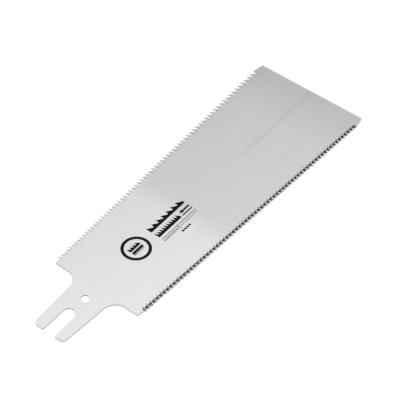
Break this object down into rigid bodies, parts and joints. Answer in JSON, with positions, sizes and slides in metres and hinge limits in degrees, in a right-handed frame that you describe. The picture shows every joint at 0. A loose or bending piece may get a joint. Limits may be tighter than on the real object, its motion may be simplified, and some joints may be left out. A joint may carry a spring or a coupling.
{
  "type": "double-edged pull saw blade",
  "caption": "Flat double-edged pull saw blade with progressive rip teeth on one edge, fine crosscut teeth on the other and a forked, drilled tang for a quick-change handle.",
  "frame": {"origin": "centre of the tang hole, half way through the plate's thickness", "axes": "+X along the blade to the toe, +Y towards the rip teeth, +Z out of the printed face"},
  "size_m": [0.3082, 0.1008, 0.0008],
  "materials": {
    "blade_steel": "ground and polished spring steel, fine satin",
    "black_ink": "matt black screen-printed ink"
  },
  "bodies": {
    "root": {"blade": "blade_steel", "printed_emblem": "black_ink", "printed_tooth_chart": "black_ink", "printed_rule": "black_ink"}
  },
  "joints": []
}
